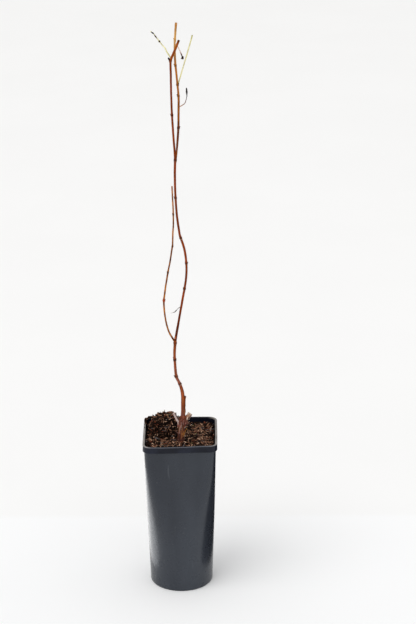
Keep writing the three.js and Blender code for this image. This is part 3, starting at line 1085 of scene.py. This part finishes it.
STRIP_TONES = {
    "old": (srgb(84, 50, 42), srgb(134, 84, 70)), "dark": (srgb(34, 21, 18), srgb(66, 42, 35)),
    "pink": (srgb(150, 110, 100), srgb(204, 166, 156)), "tan": (srgb(150, 92, 50), srgb(196, 130, 76)),
    "gold": (srgb(176, 108, 40), srgb(214, 150, 76)), "pale": (srgb(206, 178, 156), srgb(240, 222, 204)),
}
STRIP_NAMES = list(STRIP_TONES)


def strip(heap, tube, s, turn, length, width, lift, tone, upward=True, twist=0.0):
    """A thin strip of bark held to the skin at one end and lifting off it towards the other. Lengths
    are in millimetres."""
    steps, thick, rows = 9, 0.14 * MM, []
    for i in range(steps):
        t = i / (steps - 1)
        at = np.clip(s + (t if upward else -t) * length * MM, 0, tube.along[-1])
        place, ray, tangent = tube.at(at, turn + twist * t, (0.25 + lift * t ** 1.7) * MM)
        side = np.cross(tangent, ray)
        half = width * MM / 2 * (1 - 0.75 * t ** 2) * RNG.uniform(0.8, 1.15)
        curl = 0.3 * half
        rows += [place - side * half + ray * curl, place - ray * thick, place + side * half + ray * curl,
                 place + side * half + ray * (curl + thick), place + ray * thick,
                 place - side * half + ray * (curl + thick)]
    faces = capped_faces(steps, len(rows) // steps)
    if upward:
        faces = [tuple(reversed(face)) for face in faces]
    heap.add(rows, faces, STRIP_NAMES.index(tone))


def make_strips(trunk, stub, base):
    """Bark that has come away: all over the trunk, in a ruff round the right stub, and on the cane."""
    heap = Heap()
    weights = [0.46, 0.24, 0.14, 0.10, 0.02, 0.04]
    for _ in range(110):
        strip(heap, trunk, RNG.uniform(0.12, 0.8) * trunk.along[-1], RNG.uniform(0, 2 * math.pi),
              RNG.uniform(5, 15), RNG.uniform(0.35, 1.0), RNG.uniform(0.1, 1.2) * RNG.uniform(0.2, 0.9),
              STRIP_NAMES[RNG.choice(6, p=weights)], RNG.random() < 0.6, RNG.normal(0, 0.3))
    for rise, turn, length, width, lift, tone in (
            (9, RIGHT - 0.5, 12, 2.4, 3.4, "gold"), (7, RIGHT - 0.9, 10, 1.8, 1.0, "tan"),
            (20, RIGHT - 0.7, 5, 2.2, 3.6, "pale"), (22, RIGHT - 0.2, 6, 1.8, 4.6, "pink"),
            (25, RIGHT + 0.1, 5, 2.0, 5.0, "pale"), (18, RIGHT - 0.4, 8, 1.6, 2.2, "dark"),
            (20, FRONT - 0.3, 9, 1.8, 0.5, "pink"), (12, FRONT - 0.6, 8, 1.6, 0.4, "pink"),
            (9, LEFT + 0.2, 7, 2.0, 5.5, "old"), (10, LEFT + 0.35, 6, 1.6, 4.0, "pink")):
        strip(heap, trunk, trunk.distance(TRUNK_FOOT + rise * MM), turn, length, width, lift, tone)
    for _ in range(34):
        tone = STRIP_NAMES[RNG.choice([0, 1, 2, 3, 5], p=[0.1, 0.1, 0.25, 0.2, 0.35])]
        strip(heap, stub, RNG.uniform(0.3, 0.95) * stub.along[-1], RNG.uniform(0, 2 * math.pi),
              RNG.uniform(2, 5), RNG.uniform(0.9, 2.2), RNG.uniform(0.2, 1.5), tone, True,
              RNG.normal(0, 0.3))
    for _ in range(16):
        strip(heap, base, RNG.uniform(0.15, 0.6) * base.along[-1] * 0.4, RNG.uniform(0, 2 * math.pi),
              RNG.uniform(3, 8), RNG.uniform(0.5, 1.0), RNG.uniform(-0.1, 0.25),
              STRIP_NAMES[RNG.choice([0, 3, 1], p=[0.5, 0.35, 0.15])], True, RNG.normal(0, 0.15))
    heap.piece("peeling_bark", [grainy("strip_" + name, *tones, 700, 0.85)
                                for name, tones in STRIP_TONES.items()], "old_wood")


def make_stub(name, node, material, light, seed, end):
    """A pruned stub: thin wrinkled bark, paler on its upper part and left side, with painted shade down
    its right side, and a cut face.
    """
    path, along = limb_path(node, step=0.3, before=2)
    tube = Tube(path, along, 48)
    radius = tube.radius + 0.18 * MM * tube.fractal(0.3, 1.2, 3, seed)
    radius += tube.bulge(0, 4, 0.9)
    radius += tube.bulge(along[-1] - 0.5 * MM, 0.8, 0.15)
    shade = np.clip(0.5 + 0.6 * tube.fractal(0.2, 1.4, 3, seed + 3), 0, 1)
    paint = blend(WOOD[light] * 0.5, WOOD[light], shade)
    # painted shade down the right side, away from the lamp
    uneven = 0.3 * tube.noise(0.5, 2, seed + 5)
    painted_shade_side = smoothstep(np.cos(tube.turn - RIGHT) + uneven, 0.2, 0.9)
    paint = blend(paint, WOOD["old_dark"] * 1.3, 0.8 * painted_shade_side)
    near = 1 - smoothstep(tube.s, 0.05 * along[-1], 0.45 * along[-1])
    paint = blend(paint, WOOD["old"], near)
    tube.piece(name, radius, paint, end, material, "old_wood", [node])
    return tube


def thread(name, path, along, slot, material, nodes, colours, knots=(), seed=0, shrivel=0.0):
    """A tendril or fine twig: slim and wrinkled. colours are (share along, colour) stops, and knots
    are (share along, swelling in millimetres, colour)."""
    tube = Tube(path, along, 18)
    share = tube.s / along[-1]
    stops = [stop for stop, _ in colours]
    paint = np.column_stack([np.interp(share, stops, [WOOD[c][k] for _, c in colours]) for k in range(3)])
    radius = tube.radius * (1 + 0.10 * tube.fractal(0.3, 1.2, 3, seed))
    radius *= 1 + shrivel * tube.noise(1, 1.6, seed + 5) * smoothstep(share, 0.5, 0.8)
    radius += ridges(tube, 5, 0.04 * MM, 0.8, seed + 2)
    for at, size, colour in knots:
        place = at * along[-1]
        radius += tube.bulge(place, 0.9, size)
        paint = blend(paint, WOOD[colour], np.clip(1.4 * tube.near(place, 1.1 * MM), 0, 1))
    paint *= (0.9 + 0.2 * tube.noise(0.3, 1.5, seed + 9))[:, None]
    tube.piece(name, radius, paint, rounded(colours[-1][1]), material, slot, nodes)
    return tube


def make_main_cane(material, buds):
    """From the trunk's head, past the pruned spur and the elbow, to the fork."""
    spur, elbow, fork = (top_of("main_cane_" + part) for part in ("base", "lower", "upper"))
    chain = ["main_cane_base", "main_cane_lower", "main_cane_upper"]
    path, along = winding_path(*chain, step=0.5, before=6, after=3.5, size=16, amount=0.3, seed=71)
    cane = Cane(path, along, 48, "cane_red", seed=101, mottling=0.34)
    cane.tint("old", 18, 4)
    start = cane.tube.distance(spur)
    cane.tint("old_pink", 14, 20, 0.3, start)
    cane.tint("cane_red", 26, 32, 0.8, start)
    cane.tint("cane", 45, 70, 0.7, start)
    middle = elbow + 24 * MM
    cane.budded(buds, elbow - 11 * MM, RIGHT - 0.4, 0.9, 2.4, 2.2, BUD_BROWN, 0.8)
    cane.budded(buds, elbow - 0.6 * MM, LEFT, 1.1, 3.0, 2.4, BUD_BLACK, 0.5)
    cane.budded(buds, middle, RIGHT, 1.0, 2.4, 1.9, BUD_BLACK, 0.6, 1.0)
    bud(buds, cane.tube, cane.tube.distance(middle + 2 * MM), LEFT, 2.2, 1.6, BUD_BROWN, 0.6)
    cane.node(fork - 2 * MM, BACK, 1.2, 0.4)
    cane.finish("main_cane", material, "red_bark", chain, rounded("cane_dark"))

    # the pruned spur, beside which the cane grew on
    root = cane.tube.path[nearest(cane.tube.along, start - 7 * MM), :3]
    steps = [(0.2, 0, 0, 2.0), (1.2, 0, 3, 1.9), (2.0, 0, 6.5, 1.75), (2.3, 0, 8.4, 1.8)]
    stub = Cane(*grown_from(root, steps), 36, seed=117, mottling=0.5)
    stub.finish("pruned_spur", material, "red_bark", (), cut("cane_dark", "cane_purple", "black"))
    return cane.tube


def make_climbing_cane(material, buds):
    """From the fork, winding up to the blunt left tip."""
    fork, low_tie = top_of("main_cane_upper"), top_of("climbing_cane_lower")
    crossing, upper_fork = top_of("climbing_cane_middle"), top_of("climbing_cane_upper")
    left_node = top_of("left_leader") - 1 * MM
    chain = ["climbing_cane_lower", "climbing_cane_middle", "climbing_cane_upper", "left_leader",
             "left_leader_tip"]
    path, along = winding_path(*chain, step=0.6, before=4, size=24, amount=0.45, seed=73)
    tip = smoothstep(path[:, 2], left_node, left_node + 6 * MM)
    path[:, 3] += 0.25 * MM * tip
    cane = Cane(path, along, 36, "cane_rust", seed=131, mottling=0.55)
    cane.tint("cane_dark", 55, 15, 0.75)
    for height, turn, size, length, tone in (
            (low_tie + 4 * MM, LEFT + 0.4, 0.9, 2.6, BUD_BROWN),
            (low_tie + 42 * MM, RIGHT, 0.85, 2.4, BUD_BROWN),
            (crossing - 5 * MM, FRONT, 0.95, 2.6, BUD_BROWN),
            (crossing + 52 * MM, LEFT, 0.85, 2.4, BUD_BROWN),
            (upper_fork, RIGHT, 1.0, 2.0, BUD_BROWN),
            (upper_fork + 62 * MM, LEFT, 0.8, 2.4, BUD_BROWN),
            (left_node, LEFT, 1.0, 5.2, BUD_BLACK)):
        cane.budded(buds, height, turn, size, length, 0.68 * length, tone, 0.55)
    bud(buds, cane.tube, cane.tube.distance(fork + 2.5 * MM), FRONT - 0.7, 5.0, 3.0, BUD_RED, 0.9)
    cane.tint("cane_orange", -45, -15, 0.6, along[-1])
    cane.tint("cane_dark", -6, 0, 0.7, along[-1])
    cane.finish("climbing_cane", material, "red_bark", chain, cut("cane_dark", "cane_dark", "black"))
    return cane.tube


def make_bowed_cane(material, buds):
    """The thin side shoot that swings out to the left and back to the stem."""
    bow_node, bow_tie = top_of("bowed_cane_lower"), top_of("bowed_cane_middle")
    chain = ["bowed_cane_lower", "bowed_cane_middle", "bowed_cane_end"]
    path, along = winding_path(*chain, step=0.6, before=4, size=18, amount=0.4, seed=79)
    path[:, 3] *= 1.15
    cane = Cane(path, along, 28, "cane_gold", seed=151, mottling=0.55, bands=0.6)
    cane.tint("cane_purple", 22, 6, 0.5)
    s = cane.node(bow_node - 0.5 * MM, RIGHT, 1.1, 0.2)
    cane.paint = blend(cane.paint, WOOD["red"], 0.85 * cane.tube.near(s, 2.2 * MM))
    bud(buds, cane.tube, s, RIGHT, 2.6, 1.9, BUD_BROWN, 0.5)
    for height, turn in ((bow_node + 40 * MM, LEFT), (bow_tie - 2 * MM, RIGHT), (bow_tie + 44 * MM, LEFT)):
        cane.budded(buds, height, turn, 0.5, 1.6, 1.1, BUD_BROWN, 0.6)
    cane.finish("bowed_cane", material, "red_bark", chain, cut("cane_dark", "cane_tan", "cane_dark"))


def make_right_leader(material, buds):
    """From the upper fork to the top of the vine, paler as it goes."""
    chain = ["right_leader", "right_leader_tip"]
    path, along = winding_path(*chain, step=0.6, before=4, size=22, amount=0.4, seed=83)
    top = path[-1, 2]
    path[:, 3] += 0.22 * MM * smoothstep(path[:, 2], top - 80 * MM, top - 40 * MM)
    cane = Cane(path, along, 32, seed=171, mottling=0.5, bands=0.2)
    for colour, start, stop, share in (("cane_tan", -150, -60, 0.75), ("tip_tan", -60, -25, 0.85),
                                       ("cane_tan", -16, -4, 0.6)):
        cane.tint(colour, start, stop, share, along[-1])
    for below, turn, size, tone in ((140, RIGHT, 0.8, BUD_BROWN), (97, LEFT, 0.7, BUD_BROWN),
                                    (82, RIGHT, 0.9, BUD_BLACK), (56, LEFT, 0.5, BUD_TAN)):
        cane.budded(buds, top - below * MM, turn, size, 2.8, 1.8, tone, 0.6, 0.6)
    cane.budded(buds, top - 22 * MM, LEFT, 0.45, 2.4, 1.5, BUD_TAN, 0.6, 0.1)
    cane.finish("right_leader_cane", material, "tan_bark", chain, cut("old_pink", "old_pink", "knot"))
    return cane.tube


def make_tendrils(material, buds, climbing, leader):
    """The dry tendrils and the side twig."""
    path, along = winding_path("left_tendril", step=0.35, before=2.5, size=6, amount=0.75, seed=89)
    thread("tendril_left", path, along, "tendril", material, ["left_tendril"],
           [(0, "green"), (0.5, "straw"), (0.72, "straw"), (0.78, "knot"), (0.84, "knot"), (0.87, "green"),
            (0.9, "black"), (0.97, "black"), (1, "straw")],
           [(0.62, 0.75, "knot"), (0.8, 0.35, "knot"), (0.93, 0.55, "black")], 191, 0.35)
    path, along = winding_path("right_tendril", step=0.35, before=2.5, size=20, amount=0.3, seed=97)
    path[:, 3] += 0.2 * MM * smoothstep(along, 0.3 * along[-1], 0.7 * along[-1])
    thread("tendril_right", path, along, "tendril", material, ["right_tendril"],
           [(0, "green"), (0.3, "straw"), (0.88, "straw"), (0.96, "green"), (1, "knot")],
           [(0.985, 0.12, "green")], 211)
    path, along = limb_path("side_twig", step=0.35, before=1.5, flip=True)
    path[:, 3] = np.minimum(path[:, 3], 0.75 * MM)
    twig = thread("twig_side", path, along, "old_wood", material, ["side_twig"],
                  [(0, "stub"), (0.62, "stub"), (0.74, "old"), (0.84, "old_dark"), (1, "black")], (), 223)
    bud(buds, twig, along[-1] - 2.8 * MM, RIGHT, 4.4, 3.8, BUD_BLACK, 0.85)
    bud(buds, twig, along[-1] - 1.4 * MM, RIGHT, 3.0, 2.2, BUD_BLACK, 0.35)

    # two tendril ends too fine for the CAD model: one hooks left, one stands at the right
    def grow(tube, height, steps, name, colours, knots, seed):
        root = tube.path[nearest(tube.path[:, 2], height), :3]
        thread(name, *grown_from(root, steps), "tendril", material, (), colours, knots, seed, 0.3)

    grow(climbing, top_of("climbing_cane_lower") - 24 * MM,
         [(0, 0, 0, 0.5), (-2.5, -5, 1.6, 0.42), (-5.4, -8.5, 0.2, 0.34), (-8.5, -10.5, -2.7, 0.4),
          (-11.5, -11, -3.6, 0.24), (-14, -11.5, -4.3, 0.2)], "tendril_hook",
         [(0, "old"), (0.5, "knot"), (0.75, "old_dark"), (1, "old")], [(0.62, 0.4, "black")], 233)
    grow(leader, top_of("right_leader") - 57 * MM,
         [(0, 0, 0, 0.6), (4, 3, 1, 0.5), (8.5, 7, 4, 0.5), (10.8, 8, 12, 0.5), (10.8, 8, 17, 1.05),
          (10.7, 8, 20.5, 1.25), (10.4, 8, 23.5, 0.7)], "tendril_stump",
         [(0, "cane_tan"), (0.45, "old"), (0.66, "black"), (1, "black")], (), 241)


def make_vine():
    """Every limb from the trunk to the tips, with its buds and its peeling bark."""
    old = bark("old_bark", 0.9, 1.0, 0.8, 1300)
    ripe = bark("ripe_bark", 0.58, 1.0, 0.7, 2200)
    dry = bark("dry_skin", 0.65, 0.4, 0.3, 2600)
    buds = Heap()
    trunk = make_trunk(old)
    make_stub("stub_left", "pruned_stub_left", old, "stub", 61, cut("old_pink", "stub", "old"))
    right = make_stub("stub_right", "pruned_stub_right", old, "stub_tan", 67,
                      cut("pale_wood", "pale_wood", "stub_tan"))
    main = make_main_cane(ripe, buds)
    climbing = make_climbing_cane(ripe, buds)
    make_bowed_cane(ripe, buds)
    leader = make_right_leader(ripe, buds)
    make_tendrils(dry, buds, climbing, leader)
    make_strips(trunk, right, main)
    buds.piece("winter_buds", bud_scales(), "red_bark")


# ------------------------------------------------------------------ stage, light and camera


def floor_material():
    """A matt white floor, a little darker from about 0.19 m behind the middle and darker still far off,
    where it stands for the wall.
    """
    r = Recipe("pale_floor", 0.8, 0.1)
    distance = r.math("MULTIPLY", r.axis("Y"), 0.25)
    tone = r.ramp(distance, [(0.0475, (0.945, 0.95, 0.955, 1)), (0.051, (0.928, 0.928, 0.925, 1)),
                             (1.0, (0.885, 0.885, 0.88, 1))], False)
    clouding = r.ramp(r.noise(3, 2), [(0.3, grey(0.99)), (0.7, WHITE)])
    r.colour(r.mix(1.0, tone, clouding, "MULTIPLY"))
    return r.material


def card_material(name, level, glow=0.0):
    """A studio card of an even grey, which may glow."""
    r = Recipe(name, 0.9, 0.1)
    r.colour(r.ramp(r.noise(30, 2), [(0.3, grey(level * 0.8)), (0.7, grey(level))]))
    r.shader.inputs["Emission Color"].default_value = WHITE
    r.shader.inputs["Emission Strength"].default_value = glow
    return r.material


def plane(name, corners, material):
    """A flat piece of the stage, which is not part of the model."""
    mesh = bpy.data.meshes.new(name)
    mesh.from_pydata(corners, [], [(0, 1, 2, 3)])
    mesh.materials.append(material)
    card = new_object(name, mesh)
    return card


def reflected_card(name, x, front, top, material):
    """An upright card beside the pot that shows only in its shiny plastic."""
    low, back = 0.002, 0.10
    corners = [(x, front, low), (x, back, low), (x, back, top), (x, front, top)]
    card = plane(name, corners, material)
    card.visible_camera = False
    card.visible_diffuse = False
    card.visible_shadow = False


def sun(name, aim, strength, spread, colour):
    """A far lamp shining along aim, as soft as a large diffuser that spreads over so many degrees."""
    data = bpy.data.lights.new(name, "SUN")
    data.energy = strength
    data.angle = math.radians(spread)
    data.color = colour
    lamp = new_object(name, data)
    lamp.rotation_mode = "QUATERNION"
    lamp.rotation_quaternion = Vector(aim).to_track_quat("-Z", "Y")
    lamp.location = -2 * Vector(aim)


def make_world():
    """Even light from all round, a little brighter at the horizon than overhead."""
    world = bpy.data.worlds.new("studio")
    world.use_nodes = True
    nodes, links = world.node_tree.nodes, world.node_tree.links
    height = nodes.new("ShaderNodeSeparateXYZ")
    sweep = nodes.new("ShaderNodeValToRGB")
    direction = nodes.new("ShaderNodeTexCoord").outputs["Generated"]
    for element, (position, level) in zip(sweep.color_ramp.elements, ((0.02, 0.95), (0.22, 0.8))):
        element.position = position
        element.color = grey(level)
    links.new(direction, height.inputs["Vector"])
    links.new(height.outputs["Z"], sweep.inputs["Fac"])
    links.new(sweep.outputs["Color"], nodes["Background"].inputs["Color"])
    bpy.context.scene.world = world


def make_stage():
    """The floor, the two cards, the light from all round and one soft lamp."""
    far = 12.0
    plane("floor", [(-far, -far, 0), (far, -far, 0), (far, far, 0), (-far, far, 0)], floor_material())
    # a black card by the pot's right side and a bright one by its left, seen only as reflections
    reflected_card("black_card", x=0.085, front=-0.046, top=0.225,
                   material=card_material("black_card", level=0.008))
    reflected_card("bright_card", x=-0.085, front=-0.027, top=0.165,
                   material=card_material("bright_card", level=0.8, glow=2.2))
    make_world()
    sun("key", aim=(0.55, 0.5, -1.0), strength=0.95, spread=45, colour=(1.0, 0.99, 0.975))


EYE = (0.040, -2.5134, 1.3489)
LOOKING_DOWN = 20.5  # degrees
LEANING = -0.306  # degrees


def make_camera():
    """The front view, from about 2.5 m away with a long lens."""
    data = bpy.data.cameras.new("camera")
    data.sensor_width = 36
    data.lens = 112.5
    camera = new_object("camera", data)
    tilt = Matrix.Rotation(math.radians(90 - LOOKING_DOWN), 4, "X")
    roll = Matrix.Rotation(math.radians(LEANING), 4, "Z")
    camera.matrix_world = Matrix.Translation(EYE) @ tilt @ roll
    bpy.context.scene.camera = camera


bpy.context.scene.view_settings.view_transform = "Standard"
make_stage()
make_camera()
make_pot()
make_soil()
make_vine()

bpy.context.view_layer.update()
